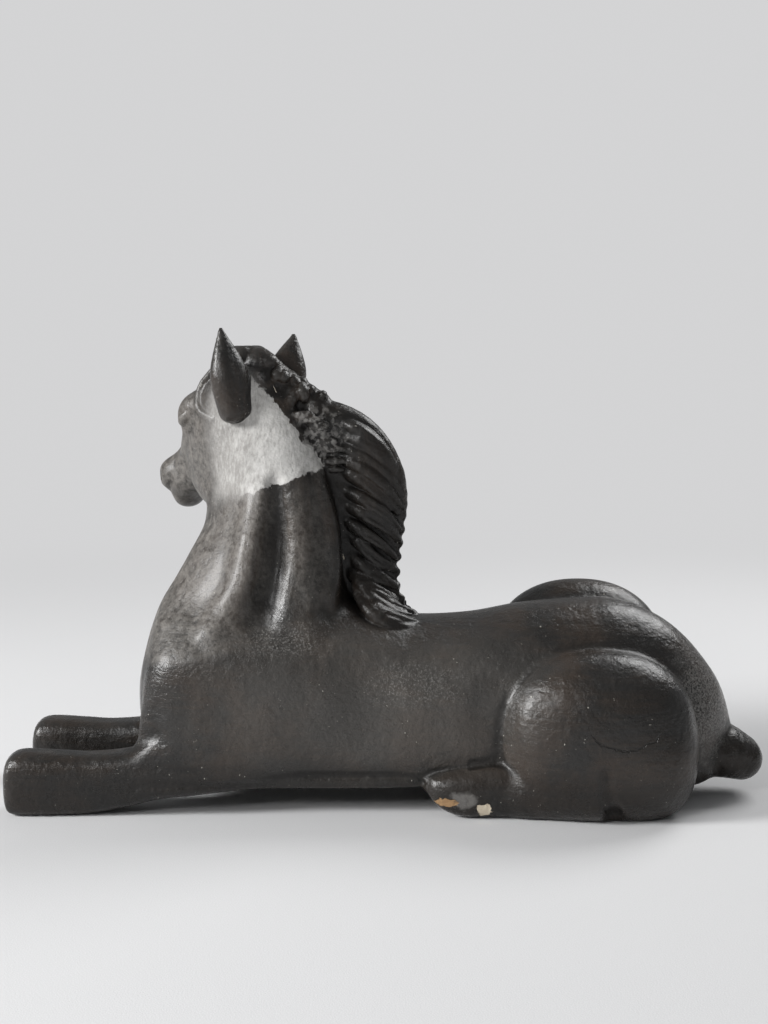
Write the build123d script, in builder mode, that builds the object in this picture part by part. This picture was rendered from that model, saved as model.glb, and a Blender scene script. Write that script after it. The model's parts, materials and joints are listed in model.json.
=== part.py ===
from build123d import *
import os
from math import cos, hypot, radians, sin

# Reclining foal statuette, built the way a hollow plaster cast of this kind is built: thick-walled
# sections with spigot joints, solid projecting parts set on iron dowels, rods down the barrel, neck and
# forelegs, and plaster-soaked scrim laid over the three seams from inside.
#
# Millimetres. +Z is up, the foal faces -X and its left side is -Y. The origin is on the floor, under the
# middle of the statuette. Sections are ellipses strung along the barrel, the neck and the head.

# ---- driving dimensions ----
LENGTH = 560.0  # fore hooves to tail
WALL = 10.0  # plaster wall of the hollow sections
LAP = 5.0  # a spigot takes the inner half of the wall
LAP_LENGTH = 14.0
FIT = 0.1  # gap all round a spigot
ROD_FIT = 0.05  # gap all round a rod or dowel
SCRIM = 3.0  # thickness of a scrim band

BARREL_SEAM_X = 70.0
NECK_SEAM_Z = 160.0
LEG_SEAM_X = -172.0

# Barrel sections: x, top, bottom, half width. The barrel seam falls on one of them.
BARREL = (
    (-190.0, 116.0, 66.0, 17.0),
    (-180.0, 140.0, 42.0, 45.0),
    (-158.0, 155.0, 24.0, 63.0),
    (-105.0, 158.0, 19.0, 69.0),
    (-40.0, 155.0, 20.0, 68.0),
    (15.0, 142.0, 21.0, 66.0),
    (BARREL_SEAM_X, 144.0, 18.0, 66.0),
    (140.0, 151.0, 8.0, 64.0),
    (195.0, 138.0, 4.0, 57.0),
    (234.0, 104.0, 6.0, 40.0),
    (254.0, 70.0, 14.0, 21.0),
)
BREAST_INSET = 7.0  # the cavity starts this far behind the second section

# Neck sections: x, y, z of the centre, lean back in degrees, half depth, half width.
NECK = (
    (-100.0, 0.0, 100.0, 0.0, 78.0, 60.0),
    (-103.0, 0.0, 130.0, 0.0, 76.0, 57.0),
    (-102.0, 0.0, NECK_SEAM_Z, 0.0, 68.0, 50.0),
    (-99.0, 1.0, 192.0, 10.0, 58.0, 42.0),
    (-97.0, 2.0, 222.0, 24.0, 54.0, 37.0),
    (-97.0, 4.0, 253.0, 37.0, 53.0, 34.0),
    (-93.0, 6.0, 284.0, 45.0, 40.0, 29.0),
    (-89.0, 8.0, 306.0, 50.0, 24.0, 20.0),
)
HEAD_SEAM = NECK[5]

# Head: the poll, the turn to the foal's right, the dip of the nose, and sections along the face as
# distance from the poll, half width, height above the axis, depth below it.
POLL = Vector(-97.0, 5.0, 315.0)
HEAD_TURN = 46.0
HEAD_DIP = 36.0
HEAD = (
    (-14.0, 18.0, 10.0, 16.0),
    (8.0, 27.0, 20.0, 40.0),
    (36.0, 31.0, 24.0, 54.0),
    (66.0, 28.0, 20.0, 48.0),
    (98.0, 20.0, 15.0, 32.0),
    (122.0, 19.0, 15.0, 27.0),
    (137.0, 13.0, 9.0, 19.0),
)
HEAD_WALL = 8.0

# Haunches: centre and half sizes. The pelvis rolls to the left, so the right haunch rides higher.
HALF_WIDTH = 96.0
HAUNCH_REACH = 43.0
LEFT_HAUNCH = (Vector(151, HAUNCH_REACH - HALF_WIDTH, 58), (72, HAUNCH_REACH, 63))
RIGHT_HAUNCH = (Vector(148, HALF_WIDTH - HAUNCH_REACH, 88), (70, HAUNCH_REACH, 64))
RIGHT_STIFLE = (Vector(150, 46, 40), (62, 40, 48))

# Forelegs: x, bottom, top, half width, distance from the middle.
FORELEG = (
    (-LENGTH / 2, 0.0, 46.0, 17.0, 50.0),
    (-225.0, 0.0, 43.0, 17.5, 49.0),
    (-190.0, 5.0, 47.0, 18.0, 47.0),
    (LEG_SEAM_X, 9.0, 56.0, 19.0, 46.0),
    (-140.0, 15.0, 68.0, 19.0, 45.0),
    (-90.0, 40.0, 84.0, 12.0, 38.0),
)
TOE_ROUND = 2.5
LEG_CORNER = 9.0
FORELEG_ROD_Z = 26.0

# Hind feet: side outline of one foot and its place across the body.
HIND_FOOT_SIDE = ((26, 22), (36, 31), (66, 36), (122, 37), (122, 0), (56, 0), (37, 7))
HIND_FOOT_INNER = 40.0
HIND_FOOT_OUTER = 73.0
HIND_FOOT_ROUND = 5.0

# Tail stub: an egg leaning down and back, with its far side at half the length.
TAIL_HALF_LENGTH = 32.0
TAIL_RADIUS = 22.0
TAIL_DROP = 40.0
TAIL_Z = 37.0

# Mane: side outline of the crest from the poll to the withers, and its thickness about the neck's line.
MANE_CREST = ((-84, 322), (-46, 300), (-20, 288), (3, 262), (9, 230), (5, 200), (3, 170), (24, 127))
MANE_ROOT = ((-30, 130), (-62, 160), (-75, 220), (-95, 290))
MANE_LEFT = -20.0
MANE_RIGHT = 26.0
MANE_ROUND = 9.0

FORELOCK = (Vector(-99, 10, 326), (16, 13, 14))

# Ears: base centre, tip, and sections as share of the height, half width, half thickness.
LEFT_EAR = (Vector(-117, -16, 304), Vector(-126, -19, 354))
RIGHT_EAR = (Vector(-81, 23, 306), Vector(-75, 34, 348))
EAR = ((0.0, 15.0, 11.0), (0.4, 13.0, 9.5), (0.8, 7.0, 5.5), (1.0, 2.4, 2.0))

# Underside openings: x of the middle, length, width; both are cut up to the same height.
BELLY_OPENING = (-28.0, 150.0, 56.0)
RUMP_OPENING = (152.0, 108.0, 60.0)
OPENING_HEIGHT = 50.0

# Iron work: radii.
SPINE_ROD = 4.0
NECK_ROD = 4.0
LEG_ROD = 3.0
DOWEL = 2.0
SPINE_ROD_Y = -12.0
SPINE_ROD_Z = 92.0
SPINE_ROD_X = (-128.0, 196.0)
NECK_ROD_FOOT = Vector(-104, 6, 84)
NECK_ROD_HEAD = Vector(-97, 8, 286)
LEG_ROD_X = (-262.0, -148.0)
FOOT_DOWEL_X = (58.0, 108.0)
FOOT_DOWEL_Z = 16.0
EAR_DOWEL_FOOT = -0.15  # as a share of the ear's height
EAR_DOWEL_TOP = 0.3
MANE_DOWEL_Y = 3.0
MANE_DOWELS = ((-74.0, -42.0, 293.0), (-66.0, -22.0, 236.0), (-58.0, -16.0, 182.0))  # from x, to x, z
TAIL_DOWEL = (Vector(230, 0, 52), Vector(264, 0, 30))
FORELOCK_DOWEL = (Vector(-98, 9, 312), Vector(-99, 10, 334))

# Plaster bridges that bed the rods: limits along the barrel, and up the neck and the head.
BARREL_BEDS_X = ((-112.0, -90.0), (17.0, 39.0), (141.0, 163.0))
BARREL_BEDS_Z = (78.0, 106.0)
NECK_BED_Z = (193.0, 207.0)
HEAD_BED_X = (-118.0, -78.0)
HEAD_BED_Z = (274.0, 290.0)

# Scrim bands: reach to either side of a seam.
BAND_REACH = 16.0
HEAD_BAND_REACH = 8.0

BIG = 800.0
turn, dip = radians(HEAD_TURN), radians(HEAD_DIP)
FACE_DIR = Vector(-cos(turn) * cos(dip), sin(turn) * cos(dip), -sin(dip))
FACE_LEFT = Vector(-sin(turn), -cos(turn), 0)
FACE_UP = FACE_DIR.cross(FACE_LEFT)


# ---- forms that several pieces share ----
def barrel_form(inset):
    """The barrel and rump, drawn in by inset on every side."""
    stations = BARREL if inset <= 0 else BARREL[1:-1]
    with BuildPart() as form:
        for x, top, bottom, half_width in stations:
            place = x + BREAST_INSET if inset > 0 and x == BARREL[1][0] else x
            with BuildSketch(Plane(origin=(place, 0, (top + bottom) / 2), x_dir=(0, 1, 0), z_dir=(1, 0, 0))):
                Ellipse(half_width - inset, (top - bottom) / 2 - inset)
        loft()
    return form.part


def neck_plane(station):
    x, y, z, lean = station[:4]
    a = radians(lean)
    return Plane(origin=(x, y, z), x_dir=(cos(a), 0, sin(a)), z_dir=(-sin(a), 0, cos(a)))


def neck_form(inset):
    """The neck, drawn in by inset all round."""
    with BuildPart() as form:
        for station in NECK:
            with BuildSketch(neck_plane(station)):
                Ellipse(station[4] - inset, station[5] - inset)
        loft()
    return form.part


def head_form(inset):
    """The head without ears, drawn in by inset; the ends of the cavity stop short as well."""
    stations = HEAD if inset <= 0 else HEAD[1:-1]
    with BuildPart() as form:
        for along, half_width, above, below in stations:
            centre = POLL + FACE_DIR * along + FACE_UP * ((above - below) / 2)
            with BuildSketch(Plane(origin=centre, x_dir=FACE_LEFT, z_dir=FACE_DIR)):
                Ellipse(half_width - inset, (above + below) / 2 - inset)
        loft()
    return form.part


def egg(centre, half_sizes):
    """An ellipsoid with its axes along X, Y and Z."""
    with BuildPart() as form:
        Sphere(1)
        scale(by=half_sizes)
    return form.part.moved(Location(centre))


def haunch_forms(inset):
    """Both haunches and the folded right stifle, drawn in by inset."""
    lumps = (LEFT_HAUNCH, RIGHT_HAUNCH, RIGHT_STIFLE)
    return [egg(centre, tuple(h - inset for h in halves)) for centre, halves in lumps]


def slab(x=(-BIG, BIG), y=(-BIG, BIG), z=(-BIG, BIG)):
    """A box between two limits on each axis."""
    with BuildPart(Location(((x[0] + x[1]) / 2, (y[0] + y[1]) / 2, (z[0] + z[1]) / 2))) as form:
        Box(x[1] - x[0], y[1] - y[0], z[1] - z[0])
    return form.part


def rod(start, end, radius):
    """A round bar between two points."""
    with BuildPart() as form:
        with BuildSketch(Plane(origin=start, z_dir=end - start)):
            Circle(radius)
        extrude(amount=(end - start).length)
    return form.part


def leg_form(side):
    """One foreleg and the stub that runs on into the chest. side is -1 for the left, 1 for the right."""
    with BuildPart() as form:
        for x, bottom, top, half_width, out in FORELEG:
            centre = (x, side * out, (top + bottom) / 2)
            with BuildSketch(Plane(origin=centre, x_dir=(0, 1, 0), z_dir=(1, 0, 0))):
                RectangleRounded(2 * half_width, top - bottom, LEG_CORNER)
        loft(ruled=True)
        toe = form.faces().sort_by(Axis.X)[0]
        fillet(toe.edges(), TOE_ROUND)
    return form.part


def opening(centre_x, length, width):
    """A round-ended slot through the underside."""
    with BuildPart() as form:
        with BuildSketch():
            with Locations((centre_x, 0)):
                SlotOverall(length, width)
        extrude(amount=OPENING_HEIGHT)
    return form.part


def beyond_head_seam(offset=0.0):
    """Everything above the head seam, or above a plane that far over it, as a block."""
    plane = neck_plane(HEAD_SEAM).offset(offset)
    with BuildPart() as form:
        with BuildSketch(plane):
            Rectangle(BIG, BIG)
        extrude(amount=BIG)
    return form.part


def foot_form(side):
    """One hind foot before it is fitted to the haunch."""
    with BuildPart() as form:
        with BuildSketch(Plane.XZ.offset(-side * HIND_FOOT_INNER)):
            with BuildLine():
                Polyline(*HIND_FOOT_SIDE, close=True)
            make_face()
        extrude(amount=-side * (HIND_FOOT_OUTER - HIND_FOOT_INNER))
        outer_face = form.faces().sort_by(Axis.Y)[0 if side < 0 else -1]
        fillet(outer_face.edges(), HIND_FOOT_ROUND)
    return form.part


def ear_form(ear):
    """One ear from its base in the head to its tip."""
    base, tip = ear
    with BuildPart() as form:
        for share, half_width, half_thickness in EAR:
            with BuildSketch(Plane(origin=base + (tip - base) * share, x_dir=(1, 0, 0), z_dir=tip - base)):
                Ellipse(half_width, half_thickness)
        loft()
    return form.part


def mane_form():
    """The slab of hair that the crest is cut from."""
    with BuildPart() as form:
        with BuildSketch(Plane.XZ.offset(-MANE_RIGHT)):
            with BuildLine():
                crest = Spline(*MANE_CREST)
                Polyline(crest @ 1, *MANE_ROOT, crest @ 0)
            make_face()
        extrude(amount=MANE_RIGHT - MANE_LEFT)
        fillet(form.edges().filter_by(Plane.XZ).sort_by(SortBy.LENGTH)[-2:], MANE_ROUND)
    return form.part


def tail_form():
    """The tail stub, an egg turned about the Y axis."""
    drop = radians(TAIL_DROP)
    reach = hypot(TAIL_HALF_LENGTH * cos(drop), TAIL_RADIUS * sin(drop))
    form = egg(Vector(0, 0, 0), (TAIL_HALF_LENGTH, TAIL_RADIUS, TAIL_RADIUS))
    return form.rotate(Axis.Y, TAIL_DROP).moved(Location((LENGTH / 2 - reach, 0, TAIL_Z)))


# ---- iron work, as bars; a hole for one is the same bar with a larger radius ----
def level_rod(x_limits, y, z, radius):
    """A round bar along X."""
    start, end = (Vector(x, y, z) for x in x_limits)
    return rod(start, end, radius)


def spine_rod_form(gap=0.0):
    return level_rod(SPINE_ROD_X, SPINE_ROD_Y, SPINE_ROD_Z, SPINE_ROD + gap)


def neck_rod_form(gap=0.0):
    return rod(NECK_ROD_FOOT, NECK_ROD_HEAD, NECK_ROD + gap)


def leg_rod_forms(gap=0.0):
    out = FORELEG[2][4]
    return [level_rod(LEG_ROD_X, side * out, FORELEG_ROD_Z, LEG_ROD + gap) for side in (-1, 1)]


def foot_dowel_forms(gap=0.0):
    out = (HIND_FOOT_INNER + HIND_FOOT_OUTER) / 2
    return [level_rod(FOOT_DOWEL_X, side * out, FOOT_DOWEL_Z, DOWEL + gap) for side in (-1, 1)]


def ear_dowel_forms(gap=0.0):
    bars = []
    for base, tip in (LEFT_EAR, RIGHT_EAR):
        foot, top = (base + (tip - base) * share for share in (EAR_DOWEL_FOOT, EAR_DOWEL_TOP))
        bars.append(rod(foot, top, DOWEL + gap))
    return bars


def mane_dowel_forms(gap=0.0):
    y = MANE_DOWEL_Y
    return [rod(Vector(start, y, z), Vector(end, y, z), DOWEL + gap) for start, end, z in MANE_DOWELS]


def cut(tools):
    """Take several forms away from the piece being built."""
    for tool in tools:
        add(tool, mode=Mode.SUBTRACT)


# ---- forms used more than once ----
barrel = barrel_form(0)
barrel_skin = barrel_form(-FIT)
barrel_cavity = barrel_form(WALL)
neck = neck_form(0)
neck_skin = neck_form(-FIT)
neck_cavity = neck_form(WALL)
head = head_form(0)
head_skin = head_form(-FIT)
head_cavity = head_form(HEAD_WALL)
legs = (leg_form(-1), leg_form(1))
ears = (ear_form(LEFT_EAR), ear_form(RIGHT_EAR))
above_head_seam = beyond_head_seam()
tail_dowel_hole = rod(*TAIL_DOWEL, DOWEL + ROD_FIT)
forelock_dowel_hole = rod(*FORELOCK_DOWEL, DOWEL + ROD_FIT)
behind_lap = slab(x=(BARREL_SEAM_X + LAP_LENGTH + WALL, BIG), z=(WALL, BIG))
haunch_cavities = [lump & behind_lap for lump in haunch_forms(WALL)]

# ---- hollow cast sections ----
with BuildPart() as torso_shell:
    add(barrel)
    add(neck)
    for leg in legs:
        add(leg & slab(x=(LEG_SEAM_X, BIG)))
    add(slab(x=(-BIG, BARREL_SEAM_X), z=(0, NECK_SEAM_Z)), mode=Mode.INTERSECT)
    cut((barrel_cavity, neck_cavity))
    cut((neck_form(LAP) & slab(z=(NECK_SEAM_Z - LAP_LENGTH - FIT, NECK_SEAM_Z)),))
    add((barrel_form(LAP + FIT) & slab(x=(BARREL_SEAM_X, BARREL_SEAM_X + LAP_LENGTH))) - barrel_cavity)
    cut((opening(*BELLY_OPENING),))
    cut(leg_rod_forms(ROD_FIT))

with BuildPart() as hindquarters_shell:
    add(barrel)
    for lump in haunch_forms(0):
        add(lump)
    add(slab(x=(BARREL_SEAM_X, BIG), z=(0, BIG)), mode=Mode.INTERSECT)
    cut((barrel_cavity, *haunch_cavities))
    cut((barrel_form(LAP) & slab(x=(BARREL_SEAM_X, BARREL_SEAM_X + LAP_LENGTH + FIT)),))
    cut((opening(*RUMP_OPENING), tail_dowel_hole))
    cut(foot_dowel_forms(ROD_FIT))

with BuildPart() as neck_shell:
    add(neck)
    add(slab(z=(NECK_SEAM_Z, BIG)), mode=Mode.INTERSECT)
    cut((above_head_seam, neck_cavity))
    cut((neck_form(LAP) & beyond_head_seam(-LAP_LENGTH - FIT),))
    add((neck_form(LAP + FIT) & slab(z=(NECK_SEAM_Z - LAP_LENGTH, NECK_SEAM_Z))) - neck_cavity)
    cut(mane_dowel_forms(ROD_FIT))

with BuildPart() as head_shell:
    add(head)
    add(neck)
    add(above_head_seam, mode=Mode.INTERSECT)
    cut((head_cavity, neck_cavity))
    add((neck_form(LAP + FIT) & beyond_head_seam(-LAP_LENGTH)) - above_head_seam - neck_cavity)
    cut((*ear_dowel_forms(ROD_FIT), *mane_dowel_forms(ROD_FIT), forelock_dowel_hole))

# ---- solid projecting parts ----
with BuildPart() as left_foreleg:
    add(legs[0] & slab(x=(-BIG, LEG_SEAM_X)))
    cut((barrel_skin, *leg_rod_forms(ROD_FIT)))

with BuildPart() as right_foreleg:
    add(legs[1] & slab(x=(-BIG, LEG_SEAM_X)))
    cut((barrel_skin, *leg_rod_forms(ROD_FIT)))

with BuildPart() as left_hind_foot:
    add(foot_form(-1))
    cut((barrel_skin, *haunch_forms(-FIT)))
    cut(foot_dowel_forms(ROD_FIT))

with BuildPart() as right_hind_foot:
    add(foot_form(1))
    cut((barrel_skin, *haunch_forms(-FIT)))
    cut(foot_dowel_forms(ROD_FIT))

with BuildPart() as tail:
    add(tail_form())
    cut((barrel_skin, tail_dowel_hole))

with BuildPart() as left_ear:
    add(ears[0])
    cut((head_skin, neck_skin, *ear_dowel_forms(ROD_FIT)))

with BuildPart() as right_ear:
    add(ears[1])
    cut((head_skin, neck_skin, *ear_dowel_forms(ROD_FIT)))

with BuildPart() as forelock:
    add(egg(*FORELOCK))
    cut((head_skin, neck_skin, *ears, forelock_dowel_hole))

with BuildPart() as mane_crest:
    add(mane_form())
    cut((neck_skin, head_skin, barrel_skin, *ears, egg(*FORELOCK)))
    cut(mane_dowel_forms(ROD_FIT))

# ---- iron rods and dowels ----
with BuildPart() as spine_rod:
    add(spine_rod_form())

with BuildPart() as neck_rod:
    add(neck_rod_form())

with BuildPart() as foreleg_rods:
    add(leg_rod_forms())

with BuildPart() as hind_foot_dowels:
    add(foot_dowel_forms())

with BuildPart() as ear_dowels:
    add(ear_dowel_forms())

with BuildPart() as mane_dowels:
    add(mane_dowel_forms())

with BuildPart() as tail_dowel:
    add(rod(*TAIL_DOWEL, DOWEL))

with BuildPart() as forelock_dowel:
    add(rod(*FORELOCK_DOWEL, DOWEL))

# ---- plaster bedding and scrim inside the hollow ----
barrel_inside = barrel_form(WALL + ROD_FIT)
neck_inside = neck_form(WALL + ROD_FIT)
rods = (spine_rod_form(ROD_FIT), neck_rod_form(ROD_FIT))

with BuildPart() as barrel_beds:
    for limits in BARREL_BEDS_X:
        add(barrel_inside & slab(x=limits, z=BARREL_BEDS_Z))
    cut(rods)

with BuildPart() as neck_bed:
    add(neck_inside & slab(z=NECK_BED_Z))
    cut(rods)

with BuildPart() as barrel_seam_scrim:
    add(barrel_inside & slab(x=(BARREL_SEAM_X - BAND_REACH, BARREL_SEAM_X + BAND_REACH)))
    cut((barrel_form(WALL + SCRIM),))

with BuildPart() as neck_seam_scrim:
    add(neck_inside & slab(z=(NECK_SEAM_Z - BAND_REACH, NECK_SEAM_Z + BAND_REACH)))
    cut((neck_form(WALL + SCRIM),))

with BuildPart() as head_seam_scrim:
    add((neck_inside & beyond_head_seam(-HEAD_BAND_REACH)) - beyond_head_seam(HEAD_BAND_REACH))
    cut((neck_form(WALL + SCRIM),))

with BuildPart() as head_bed:
    add(neck_inside & slab(x=HEAD_BED_X, z=HEAD_BED_Z))
    cut((head_seam_scrim.part, *rods))

# ---- files ----
pieces = {
    "torso_shell": torso_shell,
    "hindquarters_shell": hindquarters_shell,
    "neck_shell": neck_shell,
    "head_shell": head_shell,
    "left_foreleg": left_foreleg,
    "right_foreleg": right_foreleg,
    "left_hind_foot": left_hind_foot,
    "right_hind_foot": right_hind_foot,
    "tail": tail,
    "left_ear": left_ear,
    "right_ear": right_ear,
    "forelock": forelock,
    "mane_crest": mane_crest,
    "spine_rod": spine_rod,
    "neck_rod": neck_rod,
    "foreleg_rods": foreleg_rods,
    "hind_foot_dowels": hind_foot_dowels,
    "ear_dowels": ear_dowels,
    "mane_dowels": mane_dowels,
    "tail_dowel": tail_dowel,
    "forelock_dowel": forelock_dowel,
    "barrel_beds": barrel_beds,
    "neck_bed": neck_bed,
    "head_bed": head_bed,
    "barrel_seam_scrim": barrel_seam_scrim,
    "neck_seam_scrim": neck_seam_scrim,
    "head_seam_scrim": head_seam_scrim,
}
os.makedirs("parts", exist_ok=True)
for name, piece in pieces.items():
    piece.part.label = name
    export_step(piece.part, f"parts/{name}.step")
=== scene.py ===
"""Reclining foal statuette: the cast surface is sculpted as one field of distances, cut into the CAD's pieces
along its seams, and given a dark bronze-coloured coat. The sculpt works in millimetres in the CAD's frame:
-X is the way the foal's body faces, -Y its left side, +Z up."""

import itertools
import json
import math

import bpy
import numpy as np
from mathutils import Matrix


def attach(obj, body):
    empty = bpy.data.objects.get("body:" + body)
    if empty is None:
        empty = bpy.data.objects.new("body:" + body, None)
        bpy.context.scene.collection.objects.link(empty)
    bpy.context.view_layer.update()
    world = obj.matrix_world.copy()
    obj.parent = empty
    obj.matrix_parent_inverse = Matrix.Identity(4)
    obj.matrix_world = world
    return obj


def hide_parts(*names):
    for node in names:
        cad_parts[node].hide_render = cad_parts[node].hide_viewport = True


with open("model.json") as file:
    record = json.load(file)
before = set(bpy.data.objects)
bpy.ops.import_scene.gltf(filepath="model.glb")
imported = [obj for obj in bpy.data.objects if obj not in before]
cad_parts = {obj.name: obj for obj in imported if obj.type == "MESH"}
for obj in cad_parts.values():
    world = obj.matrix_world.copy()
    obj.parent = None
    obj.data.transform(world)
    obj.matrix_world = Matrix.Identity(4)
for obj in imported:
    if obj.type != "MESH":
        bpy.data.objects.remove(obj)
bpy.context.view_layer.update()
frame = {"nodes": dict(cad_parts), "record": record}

import openvdb
from mathutils import Vector
from mathutils.geometry import tessellate_polygon

MM = 0.001

# ---- driving dimensions, mm ----
STEP = 1.25  # grid spacing of the sculpt
BAND = 20.0  # distances beyond this are not kept
LOW = np.array([-294.0, -106.0, -6.0])
HIGH = np.array([296.0, 106.0, 366.0])

BARREL_SEAM_X = 70.0
NECK_SEAM_Z = 160.0
LEG_SEAM_X = -172.0

# Barrel: x, top, bottom, half width.
BARREL = (
    (-191, 90, 74, 12),
    (-188, 106, 62, 32),
    (-182, 128, 46, 48),
    (-172, 148, 34, 57),
    (-156, 155, 27, 64),
    (-130, 158, 22, 68),
    (-100, 157, 20, 69),
    (-50, 154, 20, 68),
    (0, 142, 19, 65),
    (21, 138, 18, 64),
    (60, 140, 17, 63),
    (98, 147, 14, 61),
    (143, 151, 10, 58),
    (174, 149, 8, 54),
    (204, 137, 8, 47),
    (228, 117, 10, 39),
    (245, 92, 16, 27),
    (256, 66, 24, 14),
    (261, 48, 32, 6),
)

# Neck: x, y, z of the centre, lean back, turn to the right, half depth, half width.
NECK = (
    (-100, 0, 100, 0, 0, 76, 56),
    (-103, 0, 130, 0, 0, 74, 55),
    (-102, 0, 160, 2, 2, 67, 51),
    (-99, 1, 192, 10, 8, 58, 43.5),
    (-96, 4, 222, 22, 16, 54, 36.5),
    (-98, 6, 252, 36, 20, 49, 32),
    (-97, 6, 280, 45, 28, 34, 27),
    (-97, 6, 300, 50, 36, 19, 18),
)

# Head: the poll, and the turn and dip of the face. Head forms use (forward, left, up) from the poll.
POLL = np.array([-101.0, 3.0, 311.0])
HEAD_TURN = math.radians(50)
HEAD_DIP = math.radians(35)
FACE = np.array([
    -math.cos(HEAD_TURN) * math.cos(HEAD_DIP),
    math.sin(HEAD_TURN) * math.cos(HEAD_DIP),
    -math.sin(HEAD_DIP),
])
LEFT = np.array([-math.sin(HEAD_TURN), -math.cos(HEAD_TURN), 0.0])
HEAD_AXES = np.array([FACE, LEFT, np.cross(FACE, LEFT)])

# Skull and muzzle: forward, half width, height above the axis, depth below it.
SKULL = (
    (-16, 10, 6, 8),
    (-8, 21, 15, 20),
    (10, 30, 26, 36),
    (34, 33, 31, 44),
    (56, 30, 26, 42),
    (82, 20, 17, 34),
    (104, 17, 13.5, 27),
    (120, 18.5, 13.5, 26),
    (132, 15, 10, 21),
    (141, 7, 3, 12),
)

# Forelegs: x, top, bottom, half width, distance from the middle.
FORELEG = (
    (-285, 34, 10, 12, 50),
    (-282, 42, 2, 16.5, 50),
    (-272, 46, 0, 18.5, 50),
    (-245, 45, 0, 18, 49.5),
    (-222, 44, 1, 17.5, 49),
    (-192, 47, 6, 18, 48),
    (-172, 56, 11, 19, 47),
    (-140, 66, 16, 20, 46),
    (-105, 76, 23, 19, 44),
    (-80, 74, 26, 14, 42),
)

# Hind feet: x, top, bottom, half width, distance from the middle.
HIND_FOOT = (
    (25, 26, 19, 5, 57),
    (31, 30, 10, 12, 57),
    (42, 33.5, 3, 16, 57),
    (56, 36, 0, 17, 57),
    (76, 38.5, 0, 17, 57),
    (98, 36, 0, 17, 58),
    (125, 36, 0, 16, 60),
)


# ---- curves ----
def smooth_points(points, count):
    """count points along a smooth curve through the given ones."""
    points = np.array(points, dtype=float)
    padded = np.vstack([2 * points[0] - points[1], points, 2 * points[-1] - points[-2]])
    places = np.linspace(0, len(points) - 1, count)
    spans = np.minimum(places.astype(int), len(points) - 2)
    t = (places - spans)[:, None]
    a, b, c, d = (padded[spans + k] for k in range(4))
    return 0.5 * (2 * b + (c - a) * t + (2 * a - 5 * b + 4 * c - d) * t**2 + (3 * b - a - 3 * c + d) * t**3)


def bend(start, pull, end, count):
    """count points along a curve from start to end that leans towards pull."""
    t = np.linspace(0, 1, count)[:, None]
    start, pull, end = (np.array(p, dtype=float) for p in (start, pull, end))
    return (1 - t) ** 2 * start + 2 * t * (1 - t) * pull + t**2 * end


# ---- forms: each gives its distance at x, y, z, and the box that holds it ----
class Form:
    def __init__(self, distance, low, high):
        self.distance = distance
        self.low = np.array(low, dtype=float)
        self.high = np.array(high, dtype=float)


def superellipse(u, v, power, reach):
    """Distance from a rounded outline, from how far out a point is as a share of the outline's radii."""
    share = (np.abs(u) ** power + np.abs(v) ** power) ** (1 / power)
    share = np.maximum(share, 1e-3)
    return reach * (1 - 1 / share)


def ellipsoid(centre, radii, power=2.0):
    centre = np.array(centre, dtype=float)
    radii = np.array(radii, dtype=float)

    def distance(x, y, z):
        u, v, w = ((p - c) / r for p, c, r in zip((x, y, z), centre, radii))
        share = (np.abs(u) ** power + np.abs(v) ** power + np.abs(w) ** power) ** (1 / power)
        slope = np.sqrt((u / radii[0]) ** 2 + (v / radii[1]) ** 2 + (w / radii[2]) ** 2)
        return share * (share - 1) / np.maximum(slope, 1e-4)

    return Form(distance, centre - radii, centre + radii)


def stroke(points, radii):
    """A round bar along a line of points; its radius runs smoothly through the given ones."""
    points = np.array(points, dtype=float)
    radii = smooth_points([(r,) for r in radii], len(points))[:, 0]

    def distance(x, y, z):
        best = None
        for a, b, ra, rb in zip(points[:-1], points[1:], radii[:-1], radii[1:]):
            span = b - a
            t = ((x - a[0]) * span[0] + (y - a[1]) * span[1] + (z - a[2]) * span[2]) / (span @ span)
            t = np.clip(t, 0, 1)
            off = (x - a[0] - t * span[0]) ** 2 + (y - a[1] - t * span[1]) ** 2 + (z - a[2] - t * span[2]) ** 2
            here = np.sqrt(off) - (ra + t * (rb - ra))
            best = here if best is None else np.minimum(best, here)
        return best

    reach = radii.max()
    return Form(distance, points.min(0) - reach, points.max(0) + reach)


def lofted(stations, upper=2.2, lower=2.2, side=1):
    """Sections along the first axis: place, top, bottom, half width and, if given, distance to one side."""
    table = smooth_points(stations, 8 * len(stations))
    table = table[np.argsort(table[:, 0])]
    places, tops, bottoms, halves = table[:, :4].T
    outs = side * (table[:, 4] if table.shape[1] > 4 else np.zeros(len(table)))

    def distance(x, y, z):
        top, bottom, half, out = (np.interp(x, places, row) for row in (tops, bottoms, halves, outs))
        middle, tall = (top + bottom) / 2, (top - bottom) / 2
        u, v = (y - out) / half, (z - middle) / tall
        reach = np.hypot(y - out, z - middle)
        if upper == lower:
            d = superellipse(u, v, upper, reach)
        else:
            d = np.where(v > 0, superellipse(u, v, upper, reach), superellipse(u, v, lower, reach))
        return np.maximum(d, np.maximum(places[0] - x, x - places[-1]))

    low = (places[0], (outs - halves).min(), bottoms.min())
    high = (places[-1], (outs + halves).max(), tops.max())
    return Form(distance, low, high)


def in_head(form, mirror=True):
    """A form given as (forward, left, up) from the poll; mirror puts it on both sides of the face."""
    low, high = form.low.copy(), form.high.copy()
    if mirror:
        low[1] = -high[1]
    corners = np.array(list(itertools.product(*zip(low, high)))) @ HEAD_AXES + POLL
    poll = [float(p) for p in POLL]

    def distance(x, y, z):
        offset = (x - poll[0], y - poll[1], z - poll[2])
        forward, left, up = (sum(float(a) * o for a, o in zip(axis, offset)) for axis in HEAD_AXES)
        return form.distance(forward, np.abs(left) if mirror else left, up)

    return Form(distance, corners.min(0), corners.max(0))


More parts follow.
